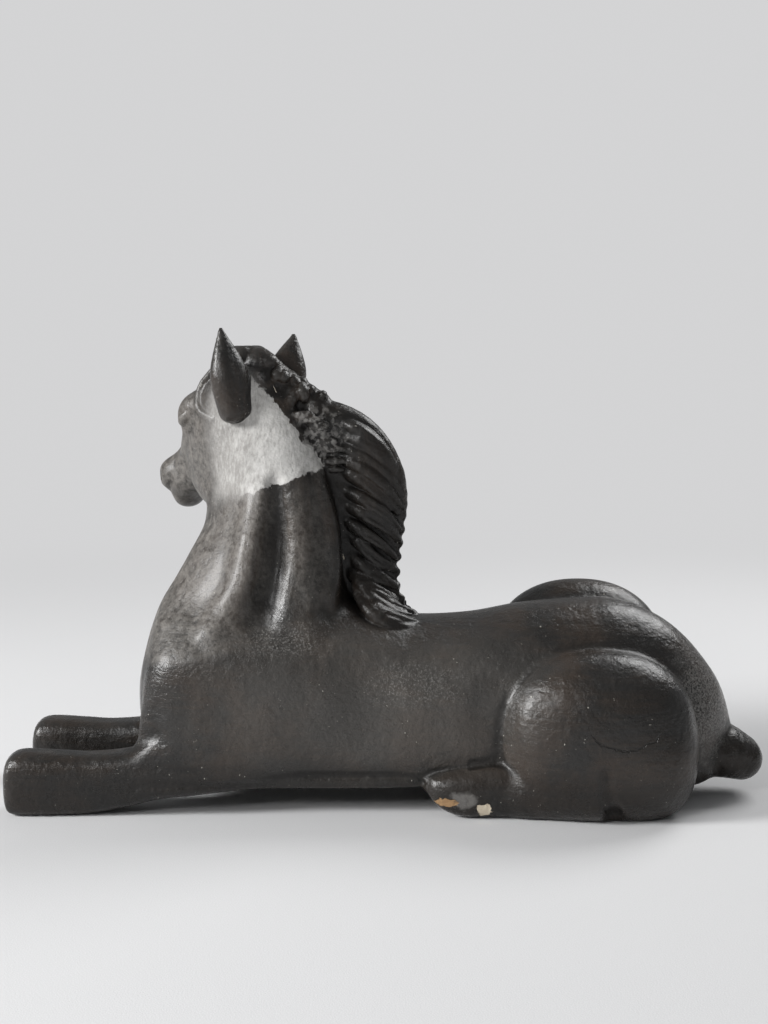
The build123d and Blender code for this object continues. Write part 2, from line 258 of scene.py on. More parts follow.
def on_both_sides(form):
    """A form on the right of the foal's middle, and its mirror image on the left."""
    low = (form.low[0], -form.high[1], form.low[2])
    return Form(lambda x, y, z: form.distance(x, np.abs(y), z), low, form.high)


def neck_form():
    """The neck: ellipses on planes that lean back and turn to the right, narrower towards the throat."""
    rows = smooth_points(NECK, 6 * len(NECK))
    centres, lean, turn = rows[:, :3], np.radians(rows[:, 3]), np.radians(rows[:, 4])
    depth_axis = np.stack([np.cos(turn) * np.cos(lean), -np.sin(turn) * np.cos(lean), np.sin(lean)], 1)
    width_axis = np.stack([np.sin(turn), np.cos(turn), np.zeros(len(rows))], 1)
    normals = np.cross(depth_axis, width_axis)

    def distance(x, y, z):
        above = [(x - c[0]) * n[0] + (y - c[1]) * n[1] + (z - c[2]) * n[2] for c, n in zip(centres, normals)]
        d = np.full(np.broadcast(x, y, z).shape, BAND)
        for i in range(len(rows) - 1):
            here = (above[i] >= 0) & (above[i + 1] < 0)
            px, py, pz, start, end = (np.broadcast_to(a, d.shape)[here] for a in (x, y, z, above[i], above[i + 1]))
            t = start / (start - end)
            middle = centres[i] + t[:, None] * (centres[i + 1] - centres[i])
            offset = np.stack([px, py, pz], 1) - middle
            deep = (offset @ depth_axis[i]) * (1 - t) + (offset @ depth_axis[i + 1]) * t
            wide = (offset @ width_axis[i]) * (1 - t) + (offset @ width_axis[i + 1]) * t
            half_depth = rows[i, 5] + t * (rows[i + 1, 5] - rows[i, 5])
            half_width = rows[i, 6] + t * (rows[i + 1, 6] - rows[i, 6])
            v = deep / half_depth
            half_width = half_width * (1 - 0.22 * np.clip(-v, 0, 1))
            d[here] = superellipse(wide / half_width, v, 2.1, np.hypot(deep, wide))
        return d

    return Form(distance, (-180, -66, 98), (-20, 66, 326))


# ---- the clay: distances on a grid ----
class Clay:
    def __init__(self, low, high, step):
        self.low = low
        self.step = step
        self.counts = np.ceil((high - low) / step).astype(int) + 1
        self.field = np.full(self.counts, BAND, dtype=np.float32)

    def window(self, low, high, margin):
        """The part of the grid within a box, and its coordinates."""
        first = np.clip(np.floor((low - margin - self.low) / self.step).astype(int), 0, self.counts - 1)
        last = np.clip(np.ceil((high + margin - self.low) / self.step).astype(int) + 1, first + 1, self.counts)
        spans = tuple(slice(a, b) for a, b in zip(first, last))
        axes = [self.low[k] + self.step * np.arange(first[k], last[k], dtype=np.float32) for k in range(3)]
        return spans, np.meshgrid(*axes, indexing="ij", sparse=True)

    def shape(self, form):
        """Distances of a form around its own box, limited to the band."""
        spans, places = self.window(form.low, form.high, BAND)
        return spans, np.clip(form.distance(*places), -BAND, BAND)

    def add(self, form, blend):
        spans, new = self.shape(form)
        self.field[spans] = soft_minimum(self.field[spans], new, blend)

    def carve(self, form, blend):
        spans, new = self.shape(form)
        self.field[spans] = -soft_minimum(-self.field[spans], new, blend)

    def skin_line(self, line, side, lifts, count):
        """Points over the skin of one side along a line of (x, z); lifts say how far outside the skin."""
        points = []
        for x, z, lift in smooth_points([(x, z, lift) for (x, z), lift in zip(line, lifts)], count):
            i, k = (int(round((p - low) / self.step)) for p, low in ((x, self.low[0]), (z, self.low[2])))
            filled = np.flatnonzero(self.field[i, :, k] < 0)
            if len(filled) == 0:
                raise ValueError(f"no clay at x {x:.0f}, z {z:.0f}")
            edge = filled[0] if side < 0 else filled[-1]
            points.append((x, self.low[1] + self.step * edge + side * lift, z))
        return points

    def sample(self, points):
        """The field at any points, from the eight grid values around each."""
        places = np.clip((points - self.low) / self.step, 0, self.counts - 1.001)
        first = places.astype(int)
        share = (places - first).astype(np.float32)
        total = np.zeros(len(points), dtype=np.float32)
        for corner in itertools.product((0, 1), repeat=3):
            weight = np.prod(np.where(corner, share, 1 - share), axis=1)
            total += weight * self.field[tuple((first + corner).T)]
        return total


def soft_minimum(a, b, blend):
    closeness = np.maximum(blend - np.abs(a - b), 0) / blend
    return np.minimum(a, b) - closeness**2 * blend / 4


# ---- the sculpt, part by part ----
WALL = 9.0
HOLLOWS = (
    ((-140, 56, 140), ellipsoid((-50, 0, 14), (84, 40, 34), 4)),
    ((84, 228, 120), ellipsoid((158, 0, 4), (50, 34, 24), 4)),
)
LEFT_HAUNCH = ellipsoid((151, -53, 58), (72, 42, 63), 2.25)
RIGHT_HAUNCH = ellipsoid((148, 53, 93), (70, 42, 64), 2.2)


def model_trunk(clay):
    clay.add(lofted(BARREL, upper=2.15, lower=4.2), 6)
    clay.add(neck_form(), 16)
    clay.add(on_both_sides(ellipsoid((-116, 34, 80), (64, 37, 52), 3.4)), 7)
    shoulder_edge = ((-152, 40, 134), (-163, 46, 110), (-172, 48.5, 88), (-178, 49, 68), (-181, 47, 50))
    clay.add(on_both_sides(stroke(smooth_points(shoulder_edge, 10), (5, 8, 7, 7))), 10)
    clay.add(ellipsoid((-122, 12, 222), (18, 15, 22)), 8)
    behind_shoulder = ((-28, 96, 134), (-14, 104, 96), (-20, 106, 62))
    clay.carve(on_both_sides(stroke(smooth_points(behind_shoulder, 6), (34, 38, 36))), 18)
    clay.add(ellipsoid((-58, 0, 24), (112, 60, 7), 4), 4)


def model_neck_cords(clay):
    """On each side of the neck: two cords with a deep hollow between them, and a valley along the mane."""
    for side in (-1, 1):
        front = clay.skin_line(((-94, 240), (-101, 203), (-109, 165), (-130, 132)), side, (-9, -8, -8, -10), 12)
        clay.add(stroke(front, (8, 13, 13, 13)), 9)
        rear = clay.skin_line(((-62, 244), (-54, 205), (-55, 165), (-64, 138)), side, (-7, -9, -9, -11), 12)
        slope = clay.skin_line(((-74, 240), (-67, 205), (-68, 170), (-78, 144)), side, (-10, -13, -14, -14), 12)
        clay.add(stroke(rear, (10, 15, 16, 14)), 8)
        clay.add(stroke(slope, (10, 15, 16, 14)), 8)
    for side, shallower in ((-1, 0), (1, 4)):
        lifts = [lift + shallower for lift in (1.5, 1.5, 4.5, 10)]
        hollow = clay.skin_line(((-86, 243), (-85, 206), (-89, 172), (-96, 146)), side, lifts, 12)
        clay.carve(stroke(hollow, (3.5, 10, 12, 14)), 7)
        valley = clay.skin_line(((-57, 250), (-51, 220), (-48, 188), (-45, 152)), side, (4, 5, 6, 11), 10)
        clay.carve(stroke(valley, (6, 9, 10, 10)), 7)


def model_forelegs(clay):
    clay.add(on_both_sides(lofted(FORELEG, upper=3.4, lower=4.5)), 9)


def model_hindquarters(clay):
    clay.add(RIGHT_HAUNCH, 7)
    clay.add(ellipsoid((150, 46, 42), (62, 42, 48)), 12)
    clay.add(ellipsoid((190, 46, 36), (38, 42, 40), 2.4), 12)
    clay.add(ellipsoid((212, 0, 64), (42, 44, 45)), 9)
    clay.add(LEFT_HAUNCH, 5)
    clay.add(ellipsoid((184, -50, 36), (38, 41, 39), 2.4), 12)
    flank = ((72, -78, 100), (66, -84, 70), (76, -86, 44))
    clay.carve(stroke(smooth_points(flank, 6), (14, 18, 16)), 12)


def model_hind_feet(clay):
    for side in (-1, 1):
        clay.add(HIND_FEET[side], 5)
        cannon = ((100, side * 62, 17), (152, side * 73, 19))
        clay.add(stroke(cannon, (17, 18)), 7)
    fold = clay.skin_line(((152, 40), (154, 22), (160, 5)), -1, (1.5, 1.4, 1), 9)
    clay.carve(stroke(fold, (2.4, 4.5, 7)), 5)


def model_tail(clay):
    for form in TAIL:
        clay.add(form, 3)
    for side in (-1, 0, 1):
        groove = ((262, side * 9, 50), (281, side * 7, 41), (286, side * 5, 24))
        clay.carve(stroke(smooth_points(groove, 7), (0.6, 1.6, 1.2)), 2)


def head(clay, form, blend):
    clay.add(in_head(form), blend)


def head_cut(clay, form, blend):
    clay.carve(in_head(form), blend)


def model_head(clay):
    skull = [(place, above, -below, half) for place, half, above, below in SKULL]
    head(clay, lofted(skull, upper=2.5, lower=2.3), 8)
    head(clay, ellipsoid((52, 15, -27), (42, 15.5, 42)), 7)
    head(clay, ellipsoid((50, 24, 12), (18, 12, 13)), 6)
    head(clay, stroke(((60, 25, 4), (94, 15, -1)), (6, 4)), 6)
    head(clay, ellipsoid((125, 12, 0), (13, 9, 11)), 5)
    head(clay, ellipsoid((129, 0, -19), (10, 13, 9)), 5)
    head_cut(clay, stroke(((132, 20, 2), (127, 23, 7)), (4.5, 3)), 3)
    head_cut(clay, stroke(((148, 0, -12), (135, 15, -12), (116, 20, -9)), (1.6, 1.6, 1)), 2.5)
    temple_ridge = ((13, 24, 24), (28, 28, 19), (34, 32.5, 4), (24, 31.5, -12))
    head(clay, stroke(smooth_points(temple_ridge, 9), (2.4, 3, 3, 2)), 2.5)
    head(clay, ellipsoid((54, 32, 9), (8.5, 6, 6.5)), 1.5)
    head_cut(clay, stroke(bend((42, 37, 8), (53, 40, 20), (66, 34, 5), 6), (1.4, 1.7, 1)), 2)
    head_cut(clay, stroke(bend((43, 36, 5), (55, 38, -2), (65, 33, 3), 6), (1.2, 1.4, 1)), 2)


def ear(base, tip, width, opening):
    """The strokes of a cupped ear, and the stroke that hollows it; opening is the way the hollow faces."""
    base, tip, opening = (np.array(p, dtype=float) for p in (base, tip, opening))
    opening = opening / np.linalg.norm(opening)
    side = np.cross(tip - base, opening)
    side = side / np.linalg.norm(side)
    shares = (-0.15, 0.3, 0.62, 1.0)
    widths = (0.72, 0.8, 0.55, 0.08)
    strokes = []
    for lean in (-0.34, 0, 0.34):
        spine = [base + (tip - base) * s + side * lean * width * w for s, w in zip(shares, widths)]
        strokes.append(stroke(smooth_points(spine, 17), [0.62 * width * w for w in widths]))
    cup = [base + (tip - base) * s + opening * width * w * 0.88 for s, w in zip(shares[1:], (0.7, 0.5, 0.12))]
    return strokes, stroke(smooth_points(cup, 9), (0.42 * width, 0.36 * width, 0.06 * width))


EARS = {
    -1: ear((-117, -18, 303), (-126, -19, 354), 20, (-0.6, 0.6, 0.1)),
    1: ear((-83, 22, 306), (-75, 33, 349), 20, (-0.1, 0.9, 0.1)),
}
HIND_FEET = {side: lofted(HIND_FOOT, upper=2.4, lower=3.5, side=side) for side in (-1, 1)}
TAIL = [
    stroke(smooth_points(((230, 4 * place, 38), (252, 8 * place, 34), (267, 6 * place, 28)), 7), (24, 20, 16.5))
    for place in (-1, 0, 1)
]


def model_ears(clay):
    for strokes, cup in EARS.values():
        for form in strokes:
            clay.add(form, 3)
        clay.carve(cup, 3)


# Mane, as (x, z) from the poll down: where the locks leave the neck, where they end, and how far the
# middle of a lock lifts off the straight line between the two.
MANE_ROOT = ((-50, 290), (-52, 268), (-48, 242), (-42, 214), (-35, 184), (-27, 157))
MANE_TIP = ((4, 247), (8, 228), (7, 206), (4, 180), (5, 154), (24, 129))
MANE_LIFT = (10, 9, 6, 2, -3, -7)
MANE_MIDDLE_Y = 3.0
MANE_DRAPE = 20.0  # how far out the lowest locks hang over the withers
LOCKS = 13


def mane_lock(share, tip_share, out, wave=0.0, longer=0.0, rise=0.4):
    """The line of one lock; share and tip_share run from the poll to the withers, out is to the right.
    rise is how far along it has come out of the mane's body."""
    root = smooth_points(MANE_ROOT, 101)[int(round(100 * np.clip(share, 0, 1)))]
    tip = smooth_points(MANE_TIP, 101)[int(round(100 * np.clip(tip_share, 0, 1)))]
    lift = np.interp(share, np.linspace(0, 1, len(MANE_LIFT)), MANE_LIFT)
    along = (tip - root) / np.linalg.norm(tip - root)
    across = np.array([-along[1], along[0]])
    tip = tip + longer * along
    steps = np.linspace(0, 1, 11)
    line = bend(root, (root + tip) / 2 + 2 * lift * across, tip, len(steps))
    line += wave * np.sin(2 * np.pi * steps)[:, None] * across
    outs = out * np.interp(steps, (0, rise, 0.75, 1), (0.15, 1, 0.8, 0.3))
    outs = outs + np.sign(out) * MANE_DRAPE * np.clip((share - 0.74) / 0.26, 0, 1) ** 1.3
    return np.stack([line[:, 0], MANE_MIDDLE_Y + outs, line[:, 1]], 1)


def mane_forms():
    """The mane's body, its locks and the finer strands over them, with the blend each one takes."""
    chance = np.random.default_rng(7)
    forms = [
        (stroke(mane_lock(share, share, 0), (12, 10, 7, 3.4)), 9 - 5 * share)
        for share in np.linspace(0, 1, 13)
    ]
    for side in (-1, 1):
        for place in np.sort(np.append(np.linspace(0.01, 0.99, LOCKS), (0.87, 0.95))):
            share = place + chance.uniform(-0.008, 0.008)
            tip_share = place + chance.uniform(-0.02, 0.02)
            width = chance.choice((0.85, 1.0, 1.15))
            out, wave, longer = side * chance.uniform(12, 15), chance.uniform(-1.2, 1.8), chance.uniform(-3, 1)
            rise = chance.uniform(0.3, 0.55)
            line = mane_lock(share, tip_share, out, wave, longer, rise)
            forms.append((stroke(line, [r * width for r in (2.0, 5.2, 4.4, 1.6)]), 1.6))
            for strand in (-1, 1):
                shift = strand * chance.uniform(0.012, 0.018)
                line = mane_lock(share + shift, tip_share + shift, out + side * 3.2, wave, longer - 1, rise + 0.12)
                forms.append((stroke(line, (0.5, 2.7, 2.3, 0.9)), 0.5))
    return forms


def roach_forms():
    """Short curls over the crest, between the poll and the long mane."""
    chance = np.random.default_rng(11)
    crest = smooth_points(((-89, 6, 326), (-79, 5, 319), (-67, 4, 310), (-54, 3, 302)), 6)
    roots = smooth_points(((-98, 16, 316), (-90, 18, 302), (-78, 19, 288), (-63, 17, 272)), 6)
    forms = []
    for (x, y, z), (root_x, out, root_z) in zip(crest, roots):
        size = chance.uniform(4.6, 6.6)
        for side in (-1, 1):
            share = chance.uniform(0.3, 0.9)
            root = (x + share * (root_x - x), y + share * side * out, z + share * (root_z - z))
            pull = (x + chance.uniform(-5, 4), y + side * 0.8 * out * share, z - 2 + chance.uniform(-4, 3))
            forms.append((stroke(bend(root, pull, (x, y + side * 2, z - 1), 9), (2, size * 0.75, size)), 4))
        forms.append((ellipsoid((x - 3, y, z - 9), (9, 11, 9)), 4))
        for _ in range(5):
            knob = (x + chance.uniform(-6, 5), y + chance.uniform(-11, 8), z + chance.uniform(-3, 5))
            swell = chance.uniform(0.5, 0.9) * size
            forms.append((ellipsoid(knob, (0.9 * swell, 1.3 * swell, swell)), 0.8))
    frayed = smooth_points(((-66, -15, 292), (-56, -13, 281), (-47, -12, 266), (-43, -11, 250)), 12)
    for place in frayed:
        size = chance.uniform(2.0, 3.2)
        forms.append((ellipsoid(place + chance.uniform(-3, 3, 3) * (2, 0.4, 1), (3.2 * size, size, size)), 2.0))
    return forms


def forelock_forms():
    """The tuft between the ears, and three locks of it that fall towards the forehead."""
    forms = [(ellipsoid((-100, 7, 327), (13, 13, 14)), 4), (ellipsoid((-93, 3, 330), (8, 9, 7)), 2)]
    for place in (-1, 0, 1):
        lock = bend((-6, 7 * place, 24), (14, 11 * place, 42), (36, 7 * place, 27), 9)
        forms.append((in_head(stroke(lock, (8, 6, 1.5)), mirror=False), 2))
    return forms


MANE = mane_forms() + roach_forms()
FORELOCK = forelock_forms()


def model_hair(clay):
    for form, blend in MANE + FORELOCK:
        clay.add(form, blend)


def flatten_underside(clay):
    """Nothing reaches below the floor."""
    below = slice(0, int(round(-LOW[2] / STEP)) + 1)
    clay.field[:, :, below] = np.maximum(clay.field[:, :, below], STEP / 2)


def hollow_out(clay):
    """The cast is hollow and open underneath; solid bulkheads are left at the seams."""
    for (start, end, top), opening in HOLLOWS:
        first, last = (int(round((x - LOW[0]) / STEP)) for x in (start, end))
        inside = (slice(first, last), slice(None), slice(0, int(round((top - LOW[2]) / STEP))))
        clay.field[inside] = np.maximum(clay.field[inside], -(clay.field[inside] + WALL))
        clay.carve(opening, 2)


def sculpt():
    clay = Clay(LOW, HIGH, STEP)
    model_trunk(clay)
    model_forelegs(clay)
    model_hindquarters(clay)
    model_hind_feet(clay)
    model_tail(clay)
    model_head(clay)
    model_neck_cords(clay)
    model_ears(clay)
    model_hair(clay)
    hollow_out(clay)
    flatten_underside(clay)
    return clay


# ---- cutting the skin into the cast pieces ----
class Skin:
    """Points with their outward normals, triangles, and which triangles are cut faces."""

    def __init__(self, points, normals, triangles, cut_face):
        self.points = points
        self.normals = normals
        self.triangles = triangles
        self.cut_face = cut_face


def skin_of(clay):
    grid = openvdb.FloatGrid(BAND)
    grid.copyFromArray(clay.field)
    points, triangles, quads = grid.convertToPolygons(0.0, 0.0)
    points = points * clay.step + clay.low
    triangles = np.vstack([triangles, quads[:, [0, 1, 2]], quads[:, [0, 2, 3]]]).astype(int)
    nudge = np.eye(3) * clay.step
    slope = np.stack([clay.sample(points + n) - clay.sample(points - n) for n in nudge], 1)
    normals = slope / np.linalg.norm(slope, axis=1, keepdims=True)
    corners = points[triangles]
    facing = np.cross(corners[:, 1] - corners[:, 0], corners[:, 2] - corners[:, 0])
    if (facing * normals[triangles[:, 0]]).sum() < 0:
        triangles = triangles[:, ::-1]
    return Skin(points, normals, triangles, np.zeros(len(triangles), dtype=bool))


def loops_of(points, edges):
    """Closed loops of point numbers from directed edges; points in the same place count as one."""
    keys = np.unique(np.round(points[edges.ravel()], 3), axis=0, return_inverse=True)[1].reshape(-1, 2)
    following = {}
    for (start, end), (a, _) in zip(keys.tolist(), edges.tolist()):
        following.setdefault(start, []).append((end, a))
    loops = []
    while following:
        here = next(iter(following))
        loop = []
        while here in following:
            after, point = following[here].pop()
            if not following[here]:
                del following[here]
            loop.append(point)
            here = after
        if len(loop) > 2:
            loops.append(loop)
    return loops


def face_probes(count):
    """Evenly spread places on a triangle, as shares of its three corners."""
    steps = [(i, j, count - i - j) for i in range(count + 1) for j in range(count + 1 - i)]
    return np.array(steps) / count


FACE_PROBES = face_probes(10)


def close(skin, edges, clay):
    """Covers each loop of an open rim with a cut face, where that face runs inside the clay."""
    points, normals, triangles, cut_faces = [skin.points], [skin.normals], [skin.triangles], [skin.cut_face]
    count = len(skin.points)
    for loop in loops_of(skin.points, edges[:, ::-1]):
        ring = skin.points[loop]
        around = np.roll(ring, -1, axis=0)
        normal = np.cross(ring, around).sum(0)
        if np.linalg.norm(normal) < SMALLEST_FACE:
            continue
        normal = normal / np.linalg.norm(normal)
        faces = np.array(tessellate_polygon([[Vector(p) for p in ring]]), dtype=int).reshape(-1, 3)
        corners = ring[faces]
        facing = np.cross(corners[:, 1] - corners[:, 0], corners[:, 2] - corners[:, 0]) @ normal
        faces[facing < 0] = faces[facing < 0][:, ::-1]
        spread = np.einsum("pk,fkc->pfc", FACE_PROBES, corners)
        levels = np.array([clay.sample(probes) for probes in spread])
        within = levels.max(0) < SKIN_SLACK
        faces = faces[within]
        points.append(ring)
        normals.append(np.tile(normal, (len(ring), 1)))
        triangles.append(faces + count)
        cut_faces.append(levels.mean(0)[within] < -COATED_DEPTH)
        count += len(ring)
    return Skin(np.vstack(points), np.vstack(normals), np.vstack(triangles), np.concatenate(cut_faces))


def without_spare_points(skin):
    used, triangles = np.unique(skin.triangles, return_inverse=True)
    return Skin(skin.points[used], skin.normals[used], triangles.reshape(-1, 3), skin.cut_face)


def cut(skin, region, clay):
    """Splits a skin where region is zero, into the piece where it is negative and the rest."""
    level = region(skin.points)
    level = np.where(np.abs(level) < 1e-4, 1e-4, level)
    inside = level < 0
    count = inside[skin.triangles].sum(1)
    crossing = (count == 1) | (count == 2)
    triangles = skin.triangles[crossing]
    flags = inside[triangles]
    lone_inside = flags.sum(1) == 1
    lone = np.where(lone_inside, flags.argmax(1), (~flags).argmax(1))
    a, b, c = np.take_along_axis(triangles, (lone[:, None] + np.arange(3)) % 3, 1).T

    edges = np.sort(np.concatenate([np.stack([a, b], 1), np.stack([a, c], 1)]), axis=1)
    edges, which = np.unique(edges, axis=0, return_inverse=True)
    which = which.reshape(-1)
    start, end = edges.T
    share = (level[start] / (level[start] - level[end]))[:, None]
    normals = skin.normals[start] * (1 - share) + skin.normals[end] * share
    normals /= np.linalg.norm(normals, axis=1, keepdims=True)
    points = np.vstack([skin.points, skin.points[start] * (1 - share) + skin.points[end] * share])
    normals = np.vstack([skin.normals, normals])
    p, q = (which + len(skin.points)).reshape(2, -1)

    corner = np.stack([a, p, q], 1)
    rest = np.concatenate([np.stack([p, b, c], 1), np.stack([p, c, q], 1)])
    rim = np.where(lone_inside[:, None], np.stack([p, q], 1), np.stack([q, p], 1))
    was_cut = skin.cut_face[crossing]
    halves = []
    for whole, mine, edge in ((3, lone_inside, rim), (0, ~lone_inside, rim[:, ::-1])):
        others = np.concatenate([~mine, ~mine])
        faces = np.concatenate([skin.triangles[count == whole], corner[mine], rest[others]])
        cut_face = np.concatenate([skin.cut_face[count == whole], was_cut[mine],
                                   np.concatenate([was_cut, was_cut])[others]])
        halves.append(without_spare_points(close(Skin(points, normals, faces, cut_face), edge, clay)))
    return halves


def near(forms, margin):
    """A region: everything within a margin of the forms."""
    def region(points):
        level = np.ones(len(points))
        for form in forms:
            close_by = np.all((points > form.low - margin - 1) & (points < form.high + margin + 1), axis=1)
            here = form.distance(*points[close_by].T) - margin
            level[close_by] = np.minimum(level[close_by], here)
        return level

    return region


def beyond(point, direction):
    """A region: the side of a plane that direction points to."""
    return lambda points: (np.array(point) - points) @ (np.array(direction) / np.linalg.norm(direction))


def both(*regions):
    return lambda points: np.max([region(points) for region in regions], axis=0)


def cast_pieces(clay):
    """The skin cut along the CAD's seams, as (name, skin) in the order the cuts are made."""
    lean = math.radians(HEAD_SEAM_LEAN)
    legs = {side: lofted(FORELEG, upper=3.4, lower=4.5, side=side) for side in (-1, 1)}
    regions = {
        "left_ear": near(EARS[-1][0], 1.2),
        "right_ear": near(EARS[1][0], 1.2),
        "forelock": near([form for form, _ in FORELOCK], 1.0),
        "mane_crest": near([form for form, _ in MANE], 1.2),
        "left_foreleg": both(near([legs[-1]], 4), beyond((LEG_SEAM_X, 0, 0), (-1, 0, 0))),
        "right_foreleg": both(near([legs[1]], 4), beyond((LEG_SEAM_X, 0, 0), (-1, 0, 0))),
        "left_hind_foot": both(near([HIND_FEET[-1]], 2.5), beyond((FOOT_SEAM_X, 0, 0), (-1, 0, 0))),
        "right_hind_foot": both(near([HIND_FEET[1]], 2.5), beyond((FOOT_SEAM_X, 0, 0), (-1, 0, 0))),
        "tail": both(near(TAIL, 2.5), beyond((TAIL_SEAM_X, 0, 0), (1, 0, 0))),
        "head_shell": beyond(HEAD_SEAM_CENTRE, (-math.sin(lean), 0, math.cos(lean))),
        "neck_shell": beyond((0, 0, NECK_SEAM_Z), (0, 0, 1)),
        "torso_shell": beyond((BARREL_SEAM_X, 0, 0), (-1, 0, 0)),
    }
    pieces = []
    skin = skin_of(clay)
    for name, region in regions.items():
        piece, skin = cut(skin, region, clay)
        pieces.append((name, piece))
    pieces.append(("hindquarters_shell", skin))
    return pieces


def curvature(clay, points, reach):
    """How much the clay swells (above 0) or is hollow (below 0) around each point, in mm over that reach."""
    around = [clay.sample(points + sign * reach * axis) for axis in np.eye(3) for sign in (-1, 1)]
    return np.mean(around, axis=0) - clay.sample(points)


def make_piece(name, skin, clay, looks):
    mesh = bpy.data.meshes.new(name)
    mesh.from_pydata((skin.points * MM).tolist(), [], skin.triangles.tolist())
    mesh.polygons.foreach_set("use_smooth", np.ones(len(skin.triangles), dtype=bool))
    for look in looks:
        mesh.materials.append(look)
    mesh.polygons.foreach_set("material_index", skin.cut_face.astype(np.int32))
    for attribute, reach in (("edge", 2.5), ("dip", 8.0)):
        values = curvature(clay, skin.points, reach).astype(np.float32)
        mesh.attributes.new(attribute, "FLOAT", "POINT").data.foreach_set("value", values)
    mesh.update()
    mesh.normals_split_custom_set_from_vertices(skin.normals.tolist())
    piece = bpy.data.objects.new(name, mesh)
    bpy.context.scene.collection.objects.link(piece)
    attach(piece, "root")
    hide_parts(name)
    return piece


# ---- looks ----
class Look:
    """A material and short ways to add nodes to it. Places are the object's own, in metres."""

    def __init__(self, name):
        self.material = bpy.data.materials.new(name)
        self.material.use_nodes = True
        self.tree = self.material.node_tree
        self.shader = self.tree.nodes["Principled BSDF"]
        self.place = self.tree.nodes.new("ShaderNodeTexCoord").outputs["Object"]

    def put(self, value, socket):
        if isinstance(value, bpy.types.NodeSocket):
            self.tree.links.new(value, socket)
        elif socket.type == "RGBA":
            socket.default_value = (*value, 1)
        else:
            socket.default_value = value

    def math(self, operation, a, b=0.0):
        node = self.tree.nodes.new("ShaderNodeMath")
        node.operation = operation
        self.put(a, node.inputs[0])
        self.put(b, node.inputs[1])
        return node.outputs[0]

    def vector(self, operation, a, b=(0, 0, 0)):
        node = self.tree.nodes.new("ShaderNodeVectorMath")
        node.operation = operation
        self.put(a, node.inputs[0])
        self.put(b, node.inputs[1])
        return node.outputs["Value" if operation in ("LENGTH", "DOT_PRODUCT") else "Vector"]

    def fade(self, value, start, end, first=0.0, last=1.0):
        """first below start, last above end, and a smooth run between."""
        node = self.tree.nodes.new("ShaderNodeMapRange")
        node.interpolation_type = "SMOOTHSTEP"
        for name, v in (("Value", value), ("From Min", start), ("From Max", end), ("To Min", first), ("To Max", last)):
            self.put(v, node.inputs[name])
        return node.outputs["Result"]

    def noise(self, size, detail=4.0, roughness=0.55, stretch=(1, 1, 1), distortion=0.0):
        """Cloudy noise from 0 to 1 with features about size mm across, drawn out along an axis by stretch."""
        node = self.tree.nodes.new("ShaderNodeTexNoise")
        place = self.vector("DIVIDE", self.place, tuple(s * size * MM for s in stretch))
        self.put(place, node.inputs["Vector"])
        node.inputs["Scale"].default_value = 1.0
        node.inputs["Detail"].default_value = detail
        node.inputs["Roughness"].default_value = roughness
        node.inputs["Distortion"].default_value = distortion
        return node.outputs["Fac"]

    def mix(self, factor, a, b):
        node = self.tree.nodes.new("ShaderNodeMix")
        node.data_type = "RGBA"
        first, second = (socket for socket in node.inputs if socket.type == "RGBA")
        self.put(factor, node.inputs["Factor"])
        self.put(a, first)
        self.put(b, second)
        return next(socket for socket in node.outputs if socket.type == "RGBA")

    def blend(self, factor, a, b):
        """a where factor is 0, b where it is 1."""
        return self.math("ADD", self.math("MULTIPLY", self.math("SUBTRACT", b, a), factor), a)

    def attribute(self, name):
        node = self.tree.nodes.new("ShaderNodeAttribute")
        node.attribute_name = name
        return node.outputs["Fac"]

    def spot(self, centre, radii, ragged=0.3, soft=0.1, grain=6.0):
        """1 within a ragged egg, in mm, and 0 outside it."""
        offset = self.vector("SUBTRACT", self.place, tuple(c * MM for c in centre))
        share = self.vector("LENGTH", self.vector("DIVIDE", offset, tuple(r * MM for r in radii)))
        wander = self.math("MULTIPLY", self.math("SUBTRACT", self.noise(grain), 0.5), 4 * ragged)
        return self.fade(self.math("ADD", share, wander), 1 - soft, 1 + soft, 1, 0)

    def arc(self, centre, radii, width):
        """1 along the lower rim of an egg, in mm, and 0 away from it."""
        offset = self.vector("SUBTRACT", self.place, tuple(c * MM for c in centre))
        share = self.vector("LENGTH", self.vector("DIVIDE", offset, tuple(r * MM for r in radii)))
        wander = self.math("MULTIPLY", self.math("SUBTRACT", self.noise(9), 0.5), 0.3)
        off_rim = self.math("ABSOLUTE", self.math("SUBTRACT", self.math("ADD", share, wander), 1))
        lower = self.fade(self.depth((0, 0, centre[2] - 0.6 * radii[2]), (0, 0, -1)), -3, 3)
        return self.math("MULTIPLY", self.fade(off_rim, 0, width, 1, 0), lower)

    def depth(self, point, direction):
        """How far a place is past a plane, in mm."""
        direction = np.array(direction) / np.linalg.norm(direction)
        offset = self.vector("SUBTRACT", self.place, tuple(c * MM for c in point))
        return self.vector("DOT_PRODUCT", offset, tuple(direction / MM))

    def bump(self, height, distance, under=None):
        """Raises the surface by height times distance mm."""
        node = self.tree.nodes.new("ShaderNodeBump")
        self.put(height, node.inputs["Height"])
        node.inputs["Distance"].default_value = distance * MM
        if under is not None:
            self.put(under, node.inputs["Normal"])
        return node.outputs["Normal"]

    def finish(self, color, roughness, normal, **others):
        self.put(color, self.shader.inputs["Base Color"])
        self.put(roughness, self.shader.inputs["Roughness"])
        self.put(normal, self.shader.inputs["Normal"])
        for name, value in others.items():
            self.put(value, self.shader.inputs[name.replace("_", " ").title().replace("Ior", "IOR")])
        return self.material


